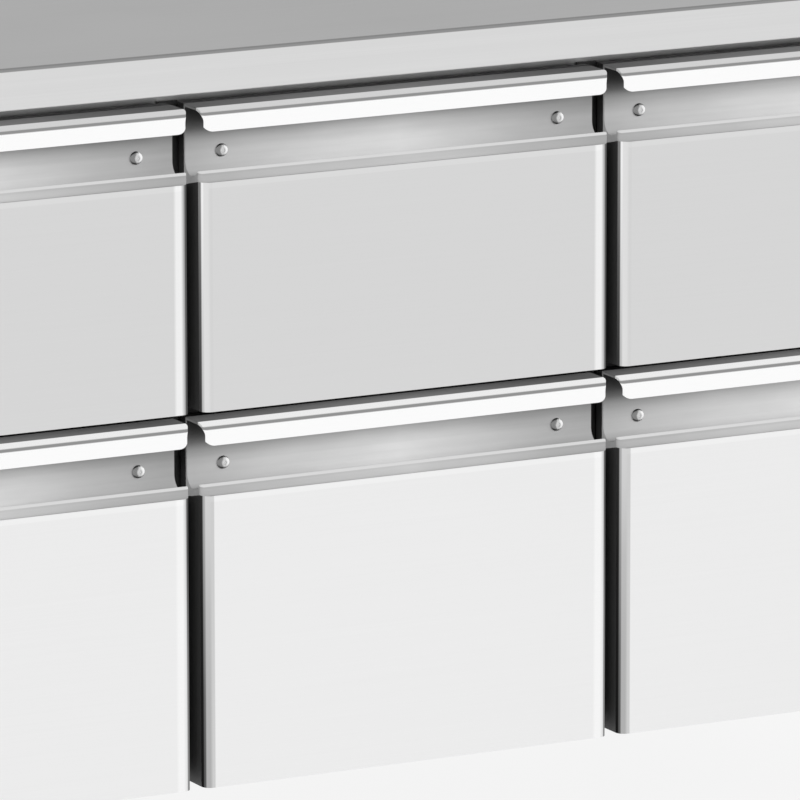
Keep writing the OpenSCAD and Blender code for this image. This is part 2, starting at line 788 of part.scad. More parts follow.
module controller() color([0.1, 0.1, 0.12]) at_controller() difference() {
    union() {
        translate([-bezel_w / 2, -bezel_h / 2, 0]) cube([bezel_w, bezel_h, bezel_t]);
        translate([-bezel_w / 2 + bezel_rim[0], -bezel_h / 2 + bezel_rim[1], -housing_d])
            cube([bezel_w - 2 * bezel_rim[0], bezel_h - 2 * bezel_rim[1], housing_d + hair]);
    }
    // Window of the display, and the keys' wells
    translate([-bezel_w / 2 + display_in, -display[1] / 2, bezel_t - 1])
        cube([display[0], display[1], over]);
    for (x = key_x) translate([x, 0, -key_well])
        cylinder(r = key_r + shaft_clear, h = bezel_t + over);
}

module key(k) color("white") at_controller()
    translate([key_x[k], 0, key_travel - key_well + shaft_clear])
        cylinder(r = key_r, h = bezel_t + key_well);

module compressor() color([0.12, 0.12, 0.12])
    translate([service_mid, comp_y, comp_z]) union() {
        straight = compressor_h - compressor_dome_h;
        cylinder(r = compressor_r, h = straight);
        translate([0, 0, straight])
            cylinder(r1 = compressor_r, r2 = comp_top_r, h = compressor_dome_h);
        translate([-compressor_r, -compressor_r, -comp_plate_t])
            cube([2 * compressor_r, 2 * compressor_r, comp_plate_t + hair]);
        translate([compressor_r - over, -terminal_box[1] / 2, terminal_z])
            cube(terminal_box + [over, 0, 0]);
        for (x = [-1, 1]) for (y = [-1, 1])
            translate([x, y, 0] * (compressor_r - comp_foot_r)
                      - [0, 0, compressor_rise])
                cylinder(r = comp_foot_r, h = compressor_rise - comp_plate_t + hair);
    }

// Pack of fins along X between two end plates, with the bends of its tubes outside
module finned_coil(w, d, h, bends) {
    block([0, 0, 0], [w, d, h]);
    for (x = [-plate_t, w]) block([x, -plate_t, 0], [x + plate_t, d + plate_t, h]);
    for (s = [0, 1]) translate([s * w, 0, 0]) mirror([1 - s, 0, 0])
        for (row = [1, 3]) for (k = [0:bends - 1])
            translate([0, row * d / 4, (k + 0.5) * h / bends]) coil_bend();
}

// One bend of a coil's tube: a ring with its inner half sunk in the fins
module coil_bend() {
    translate([bend_out, 0, 0]) rotate([90, 0, 0])
        rotate_extrude() translate([bend_r, 0]) circle(r = tube_r, $fn = 24);
    for (z = [-bend_r, bend_r]) translate([0, 0, z]) rotate([0, 90, 0])
        cylinder(r = tube_r, h = bend_out);
}

// Condenser with its foot, header, shroud, and the fan's motor on two arms
module condenser() color("dimgray") {
    x0 = service_mid - cond_w / 2;
    reach = cond_fan_r + arm_w;
    motor_y = cond_fan_y + cond_fan_t / 2 + motor_gap;
    union() {
        translate([x0, cond_y, cond_z]) finned_coil(cond_w, cond_t, cond_h, 5);
        block([x0, cond_y, leg_h + sheet_t], [x0 + cond_w, cond_y + cond_t, cond_z + hair]);
        difference() {
            block([x0, cond_y + cond_t - hair, cond_z],
                  [x0 + cond_w, cond_y + cond_t + shroud_t, cond_z + cond_h]);
            translate([service_mid, cond_y + cond_t, cond_fan_z]) rotate([-90, 0, 0])
                cylinder(r = cond_fan_r + fan_ring, h = 2 * shroud_t);
        }
        translate([x0, cond_header[1], cond_header[2]]) rotate([0, 90, 0])
            cylinder(r = header_r, h = cond_w);
        translate([service_mid, motor_y, cond_fan_z]) rotate([-90, 0, 0])
            cylinder(r = motor_r, h = motor_l);
        for (s = [-1, 1]) {
            x = service_mid + s * reach;
            block([x - arm_w / 2, cond_y + cond_t, cond_fan_z - arm_w / 2],
                  [x + arm_w / 2, motor_y + arm_in + arm_w, cond_fan_z + arm_w / 2]);
            block([min(service_mid, x), motor_y + arm_in, cond_fan_z - arm_w / 2],
                  [max(service_mid, x), motor_y + arm_in + arm_w, cond_fan_z + arm_w / 2]);
        }
    }
}

// Hub with flat blades set at an angle, turning about Z
module fan(r, hub_r, depth, blades) {
    chord = 0.48 * r;
    blade_t = 2;
    translate([0, 0, -depth / 2]) cylinder(r = hub_r, h = depth);
    intersection() {
        cylinder(r = r, h = depth, center = true);
        for (k = [0:blades - 1]) rotate([0, 0, k * 360 / blades]) rotate([28, 0, 0])
            translate([0, -chord / 2, -blade_t / 2]) cube([r, chord, blade_t]);
    }
}

module condenser_fan() color("black")
    translate([service_mid, cond_fan_y, cond_fan_z]) rotate([90, 0, 0])
        fan(cond_fan_r, cond_hub_r, cond_fan_t, 5);

// Evaporator coil with its header, and a drip tray on four legs
module evaporator() color("silver") union() {
    translate([coil_x + coil_w, coil_y, coil_z])
        rotate([0, 0, 90]) finned_coil(coil_l, coil_w, coil_h, 5);
    translate([coil_x + coil_w / 2, coil_y, coil_z + coil_h + header_r - header_dip])
        rotate([-90, 0, 0]) cylinder(r = header_r, h = coil_l);
    block([coil_x, coil_y, coil_z - tray_h],
          [coil_x + coil_w, coil_y + coil_l, coil_z + hair]);
    for (x = [coil_x, coil_x + coil_w - tray_leg])
        for (y = [coil_y, coil_y + coil_l - tray_leg])
            block([x, y, cold_floor],
                  [x + tray_leg, y + tray_leg, coil_z - tray_h + hair]);
}

// Sheet between the chamber and the first bay, with the fan's hole and motor
module evaporator_cover() color("whitesmoke") {
    reach = evap_fan_r + arm_w;
    motor_x = evap_fan_x - evap_fan_t / 2 - motor_gap;
    difference() {
        block([bay_left - sheet_t, liner_y + sheet_t, cold_floor],
              [bay_left, liner_back, cold_top]);
        translate([bay_left, evap_fan_y, evap_fan_z]) rotate([0, 90, 0])
            cylinder(r = evap_fan_r + fan_ring, h = 2 * over, center = true);
        for (k = [0:4])
            block([bay_left - over, liner_back - slot_l - 2 * coil_side,
                   cold_floor + slot_rise + 2 * k * slot_h],
                  [bay_left + over, liner_back - 2 * coil_side,
                   cold_floor + slot_rise + (2 * k + 1) * slot_h]);
    }
    translate([motor_x, evap_fan_y, evap_fan_z]) rotate([0, -90, 0])
        cylinder(r = evap_hub_r, h = evap_motor_l);
    for (s = [-1, 1]) {
        y = evap_fan_y + s * reach;
        block([motor_x - arm_w, y - arm_w / 2, evap_fan_z - arm_w / 2],
              [bay_left - sheet_t + hair, y + arm_w / 2, evap_fan_z + arm_w / 2]);
        block([motor_x - arm_w, min(evap_fan_y, y), evap_fan_z - arm_w / 2],
              [motor_x - arm_w / 3, max(evap_fan_y, y), evap_fan_z + arm_w / 2]);
    }
}

module evaporator_fan() color("black")
    translate([evap_fan_x, evap_fan_y, evap_fan_z]) rotate([0, 90, 0])
        fan(evap_fan_r, evap_hub_r, evap_fan_t, 5);

// Holes for both pipes through the partition
module pipe_holes() {
    for (p = [[pipe_y, suction_z, suction_r], [pipe_y - pipe_step, liquid_z, liquid_r]])
        translate([partition_x - over, p[0], p[1]]) rotate([0, 90, 0])
            cylinder(r = p[2] + shaft_clear, h = foam_t + 2 * over);
}

// A pipe through a list of points, with round corners
module pipe(points, r) {
    for (k = [0:len(points) - 2]) {
        d = points[k + 1] - points[k];
        translate(points[k]) rotate([0, acos(d[2] / norm(d)), atan2(d[1], d[0])])
            cylinder(r = r, h = norm(d));
    }
    for (k = [1:len(points) - 2]) translate(points[k]) sphere(r = r);
}

// Suction, liquid and discharge pipes between compressor, condenser and evaporator
module refrigerant_pipes() color("peru") {
    coil_in = coil_x + coil_w / 2;
    coil_top = coil_z + coil_h + header_r - header_dip;
    shell_in = comp_z + compressor_h - pipe_in;
    suction_x = service_mid - pipe_step;
    liquid_x = service_mid + 3 * pipe_step;
    discharge_x = service_mid + pipe_step;
    liquid_y = pipe_y - pipe_step;
    over_fan = cond_header[2] + 2 * pipe_rise;
    over_liquid = over_fan + pipe_rise;
    pipe([[suction_x, comp_y, shell_in], [suction_x, comp_y, suction_z],
          [suction_x, pipe_y, suction_z], [coil_in, pipe_y, suction_z],
          [coil_in, pipe_y, coil_top]], suction_r);
    pipe([[liquid_x, cond_header[1], cond_header[2]], [liquid_x, cond_header[1], over_fan],
          [liquid_x, liquid_y, over_fan], [liquid_x, liquid_y, liquid_z],
          [coil_in, liquid_y, liquid_z], [coil_in, liquid_y, coil_top]], liquid_r);
    pipe([[discharge_x, comp_y, shell_in], [discharge_x, comp_y, over_liquid],
          [discharge_x, cond_header[1], over_liquid],
          [discharge_x, cond_header[1], cond_header[2]]], liquid_r);
}

// ---- Drawing ----

worktop();
worktop_core();
back_panel();
end_panels();
base_panel();
cabinet_insulation();
inner_liner();
front_frame();
mullion_caps();
runner_uprights();
fixed_runners();
legs();
levelling_feet();
service_panel();
controller();
key(0);  // key_up
key(1);  // key_down
compressor();
condenser();
condenser_fan();
evaporator();
evaporator_cover();
evaporator_fan();
refrigerant_pipes();

for (i = [0:bank_count - 1]) for (l = [0, 1]) {
    name = drawer_name(l, i);
    front_skin(i, l);
    handle_rail(i, l);
    front_core(i, l);
    gasket(i, l);
    drawer_box(i, l);
    middle_slides(i, l);
}
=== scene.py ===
# %% [markdown]
# # The looks of an undercounter drawer refrigerator
# The counter arrives as finished solids: every sheet, rail and slide already has its real shape.
# This lesson dresses them. Each step says what the real piece or finish is, then builds it with
# Blender's nodes or with a small mesh. Nothing that arrives is moved or reshaped.

import json
import math

import bmesh
import bpy
from mathutils import Matrix, Vector


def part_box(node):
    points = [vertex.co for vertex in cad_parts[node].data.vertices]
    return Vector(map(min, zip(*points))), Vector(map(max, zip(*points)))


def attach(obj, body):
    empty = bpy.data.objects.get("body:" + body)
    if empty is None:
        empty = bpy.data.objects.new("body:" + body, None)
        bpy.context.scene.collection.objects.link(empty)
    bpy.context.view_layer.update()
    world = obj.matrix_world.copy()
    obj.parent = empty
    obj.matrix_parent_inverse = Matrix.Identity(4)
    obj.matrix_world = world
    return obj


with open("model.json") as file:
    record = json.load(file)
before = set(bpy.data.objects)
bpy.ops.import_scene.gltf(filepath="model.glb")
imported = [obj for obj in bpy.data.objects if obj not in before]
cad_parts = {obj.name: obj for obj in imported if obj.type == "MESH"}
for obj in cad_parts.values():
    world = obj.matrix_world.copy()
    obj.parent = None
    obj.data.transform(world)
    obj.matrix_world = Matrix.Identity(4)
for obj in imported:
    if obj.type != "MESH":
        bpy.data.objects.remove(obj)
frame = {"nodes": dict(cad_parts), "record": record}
nodes = frame["nodes"]
bpy.context.scene.view_settings.view_transform = "Standard"
bpy.context.view_layer.update()

# %% [markdown]
# ## Measures taken from the frame
# A dressed piece has to sit on what carries it. Its place could be typed in, but then it would be
# wrong as soon as the counter changes. So it is worked out from the boxes of the solids. Two levels
# of drawers repeat in every bank, so most values are kept per level.

# %% Measures
LEVELS = ("lower", "upper")
BANKS = sorted({int(name.split("_")[1]) for name in nodes if name.endswith("_front_skin")})
DRAWERS = [f"{level}_{bank}" for bank in BANKS for level in LEVELS]

face_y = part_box("lower_1_front_skin")[0].y
bank_centre = {bank: sum(corner.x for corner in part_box(f"lower_{bank}_front_skin")) / 2
               for bank in BANKS}
bank_pitch = bank_centre[BANKS[1]] - bank_centre[BANKS[0]]
panel_top = {level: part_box(f"{level}_1_front_skin")[1].z for level in LEVELS}
rail_top = {level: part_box(f"{level}_1_handle_rail")[1].z for level in LEVELS}
worktop_low, worktop_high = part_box("worktop")
print("drawers:", ", ".join(DRAWERS))

# %% [markdown]
# ## The camera
# The photograph was taken with a long lens, from the left of the fronts and a little above. A
# camera could be dragged about until it fits. Here it is placed by what it looks at, by two angles
# and a distance, because those four can be judged one at a time. The small roll is what the
# photograph's uprights ask for.

# %% Camera
IMAGE_SIZE = 800                     # pixels, wide and high
LENS_PIXELS = 9370                   # focal length in pixels
SENSOR = 36.0                        # millimetres
VIEW_LEFT = math.radians(27.73)      # how far the camera stands to the left of the fronts
VIEW_ABOVE = math.radians(12.05)     # and above the level
VIEW_ROLL = math.radians(-0.063)
VIEW_DISTANCE = 8.92                 # metres
LOOK_AT = Vector((0.1906, face_y, 0.5087))


def add_camera():
    """Makes the camera and points it, with its axes written out as the columns of a matrix."""
    forward = Vector((math.sin(VIEW_LEFT) * math.cos(VIEW_ABOVE),
                      math.cos(VIEW_LEFT) * math.cos(VIEW_ABOVE),
                      -math.sin(VIEW_ABOVE)))
    level_right = Vector((math.cos(VIEW_LEFT), -math.sin(VIEW_LEFT), 0))
    level_up = level_right.cross(forward)
    right = level_right * math.cos(VIEW_ROLL) + level_up * math.sin(VIEW_ROLL)
    up = level_up * math.cos(VIEW_ROLL) - level_right * math.sin(VIEW_ROLL)
    data = bpy.data.cameras.new("camera")
    data.sensor_width = SENSOR
    data.lens = SENSOR * LENS_PIXELS / IMAGE_SIZE
    data.clip_start, data.clip_end = 0.1, 100.0
    camera = bpy.data.objects.new("camera", data)
    bpy.context.scene.collection.objects.link(camera)
    turn = Matrix((right, up, -forward)).transposed().to_4x4()
    camera.matrix_world = Matrix.Translation(LOOK_AT - forward * VIEW_DISTANCE) @ turn
    bpy.context.scene.camera = camera
    return camera


camera = add_camera()
print(f"camera with a {camera.data.lens:.0f} mm lens")

# %% [markdown]
# ## Shader maths that reads like Python
# A material's nodes are easier to read as sums than as boxes and wires. The class below wraps one
# output socket and overloads the operators, so that `1 - mask` adds a Math node. Colours never go
# through it, because a Math node turns a colour grey.

# %% Wires
class Wire:
    """One output socket in a shader's tree."""

    def __init__(self, tree, socket):
        self.tree = tree
        self.socket = socket

    def maths(self, operation, *values):
        node = self.tree.nodes.new("ShaderNodeMath")
        node.operation = operation
        for slot, value in zip(node.inputs, values):
            if isinstance(value, Wire):
                self.tree.links.new(value.socket, slot)
            else:
                slot.default_value = value
        return Wire(self.tree, node.outputs[0])

    def __add__(self, other):
        return self.maths("ADD", self, other)

    def __radd__(self, other):
        return self.maths("ADD", other, self)

    def __sub__(self, other):
        return self.maths("SUBTRACT", self, other)

    def __rsub__(self, other):
        return self.maths("SUBTRACT", other, self)

    def __mul__(self, other):
        return self.maths("MULTIPLY", self, other)

    def __rmul__(self, other):
        return self.maths("MULTIPLY", other, self)

    def __truediv__(self, other):
        return self.maths("DIVIDE", self, other)

    def clamped(self):
        return self.maths("MINIMUM", self.maths("MAXIMUM", self, 0.0), 1.0)

    def above(self, edge, soft):
        """0 below the edge and 1 above it, with a ramp of the width soft between."""
        return ((self - (edge - soft / 2)) / soft).clamped()

    def between(self, low, high, soft):
        """1 between two edges and 0 outside them."""
        return self.above(low, soft) - self.above(high, soft)


print("operators: + - * /, and the masks above and between")

# %% [markdown]
# ## A finish
# Every finish starts in the same way: a Principled shader, the object's own coordinates, and
# noise. Object coordinates are used because the model brings no UV map, and because they stay
# with a drawer when it slides. One method makes any node, from its type, its settings and its
# inputs.

# %% Finishes
class Finish:
    """A new material with a Principled shader and a short way to add nodes."""

    def __init__(self, name, **constants):
        self.material = bpy.data.materials.new(name)
        self.material.use_nodes = True
        self.tree = self.material.node_tree
        self.shader = self.tree.nodes["Principled BSDF"]
        for socket, value in constants.items():
            self.shader.inputs[socket.replace("_", " ")].default_value = value

    def add(self, kind, settings=None, inputs=None, output=0):
        """Any node: its type, its settings, its inputs, and the output that is wanted."""
        node = self.tree.nodes.new(kind)
        for key, value in (settings or {}).items():
            setattr(node, key, value)
        for key, value in (inputs or {}).items():
            if isinstance(value, Wire):
                self.tree.links.new(value.socket, node.inputs[key])
            else:
                node.inputs[key].default_value = value
        return Wire(self.tree, node.outputs[output])

    def into(self, socket, wire):
        self.tree.links.new(wire.socket, self.shader.inputs[socket])

    def place(self):
        """The object's own coordinates, in metres."""
        return self.add("ShaderNodeTexCoord", output="Object")

    def axes(self):
        """The place, split into X, Y and Z."""
        split = self.add("ShaderNodeSeparateXYZ", inputs={"Vector": self.place()})
        outputs = split.socket.node.outputs
        return [Wire(self.tree, outputs[axis]) for axis in "XYZ"]

    def noise(self, per_metre, detail=2.0):
        """Noise from 0 to 1, with its own count of features per metre along X, Y and Z."""
        scaled = self.add("ShaderNodeVectorMath", {"operation": "MULTIPLY"},
                          {0: self.place(), 1: per_metre})
        return self.add("ShaderNodeTexNoise", None,
                        {"Vector": scaled, "Scale": 1.0, "Detail": detail})

    def mix(self, share, low, high):
        """A colour between two colours, as share goes from 0 to 1."""
        mixed = self.add("ShaderNodeMix", {"data_type": "RGBA"}, {0: share}, 2)
        for slot, colour in zip(mixed.socket.node.inputs[6:8], (low, high)):
            slot.default_value = (*colour, 1)
        return mixed

    def ramp(self, share, stops):
        """A grey that runs through the stops, each a share and the grey's strength."""
        ramp = self.add("ShaderNodeValToRGB", None, {"Fac": share})
        elements = ramp.socket.node.color_ramp.elements
        while len(elements) < len(stops):
            elements.new(0.5)
        for element, (place, strength) in zip(elements, stops):
            element.position = place
            element.color = (strength, strength, strength, 1)
        return ramp

    def vector(self, operation, *values):
        """A Vector Math node."""
        return self.add("ShaderNodeVectorMath", {"operation": operation}, dict(enumerate(values)))

    def facing(self):
        """The surface's own normal."""
        return self.add("ShaderNodeNewGeometry", output="Normal")

    def lean(self, normal, towards, share):
        """A normal that leans towards a direction, all the way where share is 1."""
        step = self.vector("SUBTRACT", towards, normal)
        scaled = self.add("ShaderNodeVectorMath", {"operation": "SCALE"},
                          {0: step, "Scale": share})
        return self.vector("NORMALIZE", self.vector("ADD", normal, scaled))

    def bump(self, height, depth, normal=None):
        """Raises the surface by height, where 1 stands for depth metres."""
        inputs = {"Height": height, "Distance": depth, "Strength": 1.0}
        if normal:
            inputs["Normal"] = normal
        self.into("Normal", self.add("ShaderNodeBump", None, inputs))


print("finish helper ready")

# %% [markdown]
# ## Brushed steel
# Stainless sheet is ground with a belt, so it carries long fine scratches in one direction. They
# are too thin to model. A noise that is stretched along the grain gives their colour, and the same
# noise as a tiny bump spreads the reflections across the grain. A second, broad noise stands for
# the clouds that a wiped surface has.

# %% Brushed steel
GRAIN = {"x": (3.0, 900.0, 900.0), "y": (900.0, 3.0, 900.0), "z": (900.0, 900.0, 3.0)}
STREAKS = {"x": (1.2, 190.0, 190.0), "y": (190.0, 1.2, 190.0), "z": (190.0, 190.0, 1.2)}
CLOUDS = (3.0, 3.0, 3.0)
SCRATCH_DEPTH = 0.000004             # metres


def brushed(name, tone, along="x", rough=0.3, contrast=0.04):
    """Steel of one grey, with its grain along one axis."""
    finish = Finish(name, Metallic=1.0)
    grain = finish.noise(GRAIN[along], 3.0)
    streaks = finish.noise(STREAKS[along], 2.0)
    clouds = finish.noise(CLOUDS, 3.0)
    uneven = (grain - 0.5) * 1.6 + (streaks - 0.5) * 1.4 + (clouds - 0.5)
    finish.into("Base Color", (uneven * contrast + 1.0) * tone)
    finish.into("Roughness", (clouds - 0.5) * 0.12 + (streaks - 0.5) * 0.1 + rough)
    finish.bump(grain, SCRATCH_DEPTH)
    return finish.material


steel = {
    "casing_steel": brushed("casing_steel", 0.58, "z", 0.36),
    "service_steel": brushed("service_steel", 0.72, "x", 0.32, 0.015),
    "liner_steel": brushed("liner_steel", 0.66, "x", 0.3, 0.02),
    "box_steel": brushed("box_steel", 0.62, "y", 0.3, 0.03),
    "leg_steel": brushed("leg_steel", 0.6, "z", 0.3, 0.03),
    "slide_steel": brushed("slide_steel", 0.5, "y", 0.38, 0.02),
}
print(len(steel), "brushed finishes")

# %% [markdown]
# ## Worktop
# One sheet makes the top and its folded front edge, but they don't look alike. The top is painted
# darker than the front edge, as shade from how the light falls on them, and the fold between them
# is a thin painted dark line of shade. Three materials would need the faces sorted by hand. One
# material picks out the three by the height and the depth.

# %% Worktop finish
FOLD_RADIUS = 0.0032
TOP_SOFT, FOLD_SOFT = 0.0004, 0.0006
# painted shade: the top darker than the front edge, and a dark line along the fold
EDGE_TONE, TOP_SHADE_TONE, FOLD_SHADE_TONE = 0.74, 0.45, 0.3


def worktop_finish():
    finish = Finish("worktop_steel", Metallic=1.0)
    x, y, z = finish.axes()
    on_top = z.above(worktop_high.z - TOP_SOFT, TOP_SOFT)
    fold = z.above(worktop_high.z - FOLD_RADIUS, FOLD_SOFT)
    fold = fold * (1 - y.above(worktop_low.y + FOLD_RADIUS, FOLD_SOFT))
    grain = finish.noise(GRAIN["x"], 3.0)
    streaks = finish.noise(STREAKS["x"], 2.0)
    clouds = finish.noise(CLOUDS, 3.0)
    uneven = (grain - 0.5) * 0.06 + (streaks - 0.5) * 0.06 + (clouds - 0.5) * 0.05
    # painted shade on the top and along the fold
    edge_and_top_shading = EDGE_TONE - on_top * (EDGE_TONE - TOP_SHADE_TONE)
    tone = edge_and_top_shading - fold * (edge_and_top_shading - FOLD_SHADE_TONE)
    finish.into("Base Color", tone * (uneven + 1.0))
    finish.into("Roughness", on_top * 0.06 + (clouds - 0.5) * 0.12 + 0.3)
    finish.bump(grain, SCRATCH_DEPTH)
    return finish.material


steel["worktop_steel"] = worktop_finish()
print("worktop finish")

# %% [markdown]
# ## Drawer fronts
# A front is a flat sheet whose upright edges are rolled back. The flat is ground evenly. The rolls
# carry painted reflections: on the left a painted highlight near the top, on the right near the
# floor. The room round it could be built to be mirrored there. Instead, bands follow how far
# sideways the surface faces, because only the rolls do, and each band takes its painted tone from
# a ramp over the height. A painted highlight runs beside the right roll and along the top, and a
# painted shade beside the left roll. The lower fronts are painted brighter, as light from the
# floor.
# The rolls mirror each other across the gap, which would make them black, so their shading normal
# is leaned towards the room.

# %% Front finish
# the lower fronts' brighter tone is painted light, a reflection of the floor
FACE_TONES = {"upper": 0.726, "lower": 0.897}
TONE_HEIGHT = 0.8                    # metres of height that a ramp covers
SIDEWAYS, LEAN_SOFT = 0.4, 0.5       # a normal's share along X where the lean begins
# painted reflections on the rolls: side, how far sideways the sheet must face, softness, tone by
# share of TONE_HEIGHT
PAINTED_ROLL_REFLECTIONS = [
    (-1, 0.24, 0.25, [(0.22, 0.46), (0.3, 0.48), (0.41, 0.54), (0.5, 0.65), (0.66, 0.77),
                      (0.9, 0.77)]),
    (-1, 0.75, 0.08, [(0.22, 0.11), (0.3, 0.15), (0.41, 0.28), (0.5, 0.39), (0.66, 0.56),
                      (0.9, 0.92)]),
    (-1, 0.9, 0.06, [(0.22, 0.01), (0.41, 0.015), (0.5, 0.025), (0.66, 0.045), (0.78, 0.11),
                     (0.9, 0.22)]),
    (1, 0.2, 0.3, [(0.24, 0.84), (0.36, 0.83), (0.52, 0.66), (0.67, 0.5), (0.85, 0.42)]),
    (1, 0.45, 0.15, [(0.2, 0.25), (0.36, 0.2), (0.48, 0.1), (0.85, 0.1)]),
]
# a painted highlight before the right roll and a painted shade after the left roll
HIGHLIGHT_MARGIN = (0.2025, 0.2105)     # band before the right roll, from the bank's centre
SHADE_MARGIN = (-0.2135, -0.2078)     # and the one after the left roll
HIGHLIGHT_SHARE = 0.75
SHADE_SHARES = {"upper": 0.03, "lower": 0.28}
ROLL_LEAN = 0.7
# a painted highlight along the top, where the sheet turns in below the rail
TOP_HIGHLIGHT_BAND = 0.0055                    # the sheet turns in below the rail and catches light
TOP_HIGHLIGHT_GAIN = 0.04
OUTWARDS = (0, -0.985, 0.174)


def along_bank(x):
    """How far along its own bank a point lies, from 0 to 1."""
    banks = (x - (bank_centre[BANKS[0]] - bank_pitch / 2)) / bank_pitch
    return banks.maths("FRACT", banks)


def front_finish(level, face_tone):
    finish = Finish(f"front_steel_{level}", Metallic=1.0)
    x, y, z = finish.axes()
    facing = finish.add("ShaderNodeSeparateXYZ", None, {"Vector": finish.facing()})
    from_centre = (along_bank(x) - 0.5) * bank_pitch
    # painted highlight and painted shade beside the rolls
    highlight_margin = from_centre.between(*HIGHLIGHT_MARGIN, 0.003)
    shade_margin = from_centre.between(*SHADE_MARGIN, 0.001)
    # painted highlight along the top of the front
    top = z.between(panel_top[level] - TOP_HIGHLIGHT_BAND, panel_top[level], 0.001)
    tone = face_tone + top * TOP_HIGHLIGHT_GAIN + highlight_margin * (1.0 - face_tone) * HIGHLIGHT_SHARE
    tone = tone - shade_margin * (face_tone * SHADE_SHARES[level])
    # painted reflections on the rolls, by height
    for side, edge, soft, stops in PAINTED_ROLL_REFLECTIONS:
        band = (facing * side).above(edge, soft)
        tone = tone + band * (finish.ramp(z / TONE_HEIGHT, stops) - tone)
    grain = finish.noise(GRAIN["x"], 3.0)
    clouds = finish.noise(CLOUDS, 3.0)
    uneven = (grain - 0.5) * 0.03 + (clouds - 0.5) * 0.03 + 1.0
    finish.into("Base Color", tone * uneven)
    finish.into("Roughness", (clouds - 0.5) * 0.1 + 0.32)
    sideways = facing.maths("ABSOLUTE", facing, 0.0).above(SIDEWAYS, LEAN_SOFT)
    leaned = finish.lean(finish.facing(), OUTWARDS, sideways * ROLL_LEAN)
    finish.bump(grain, SCRATCH_DEPTH, leaned)
    return finish.material


front = {level: front_finish(level, tone) for level, tone in FACE_TONES.items()}
print("front finishes:", ", ".join(front))

# %% [markdown]
# ## Handle rail
# The rail is one drawn profile with three finishes: a polished lip, a satin recess behind it, and a
# rounded nose below. The recess is painted darker up behind the lip and towards the rail's ends,
# as shade, and the nose takes painted shade over its height and a painted highlight along its
# crest. The lip's near-white tone is partly its polish and partly painted sheen; the band above its
# fine line is painted darker as shade, more on the upper drawers, and the line itself is a painted
# dark reflection. They could be three materials on sorted faces. Masks cut from the height above
# the panel and the depth behind the face keep soft borders, so each level of drawers gets its own
# copy. A hollow of real metal mirrors itself until it goes dark. Here the shading normal leans out
# towards the room, which keeps the recess as light as the eye expects.

# %% Handle rail
RAIL_HEIGHT = 0.07
LIP_FOOT = 0.0475                    # where the lip begins, above the panel's top
LIP_DEPTH = 0.0125
# a painted dark reflection along the lip
DARK_LINE_HEIGHT = 0.0652                 # the fine line along the lip
DARK_LINE_WIDTH = 0.0028
BORDER = 0.0006                      # how soft the lip's borders are
# painted shade on the lip above that line, darker on the upper drawers
BAND_SHADE_TONES = {"upper": 0.64, "lower": 0.84}     # the lip above that line
# a painted highlight along the nose's crest
CREST_HEIGHT = 0.0083                # the bright line along the nose
CREST_DEPTH = 0.0105
# painted shade: over the nose's height, and darker up the recess behind the lip and on the rail's
# top
NOSE_SHADE_STOPS = [(0.0, 0.56), (0.16, 0.57), (0.34, 0.61), (0.75, 0.62), (0.9, 0.58)]
RECESS_SHADE_STOPS = [(0.0, 0.7), (0.1, 0.79), (0.16, 0.79), (0.32, 0.76), (0.43, 0.65), (0.52, 0.555),
               (0.57, 0.48), (0.64, 0.36), (0.85, 0.44), (0.985, 0.4), (1.0, 0.22)]
# a painted highlight on the crest, a painted dark line, and the lip's tone partly painted sheen
CREST_HIGHLIGHT_TONE, DARK_LINE_TONE, LIP_TONE = 0.75, 0.29, 0.97
NOSE_BELL = 0.65                     # how much of the recess's bell the nose shows
# painted shade towards the rail's ends, along the bank
END_SHADE_STOPS = [(0.03, 0.66), (0.18, 0.8), (0.35, 0.92), (0.52, 1.0), (0.66, 0.86), (0.8, 0.7),
               (0.97, 0.56)]
RAIL_CLOUDS = (14.0, 60.0, 60.0)
HOLLOW_LEAN, LIP_LEAN, NOSE_LEAN = 0.9, 0.95, 0.75
FOOT_HEIGHT, FOOT_SOFT = 0.018, 0.016           # the foot of the recess
OUT_AND_UP = (0, -0.94, 0.34)        # where the normal leans in that foot


def rail_masks(height, depth):
    """The lip, the band above its line, the line, the nose and the nose's crest."""
    lip = height.above(LIP_FOOT, BORDER) * (1 - depth.above(LIP_DEPTH, BORDER))
    band = height.above(DARK_LINE_HEIGHT + DARK_LINE_WIDTH / 2, BORDER)
    dark_line = height.between(DARK_LINE_HEIGHT - DARK_LINE_WIDTH / 2, DARK_LINE_HEIGHT + DARK_LINE_WIDTH / 2, 0.0008)
    nose = (1 - depth.above(CREST_DEPTH, 0.001)) * (1 - lip)
    crest_highlight = height.above(CREST_HEIGHT, 0.0005) * nose
    return lip, band, dark_line, nose, crest_highlight


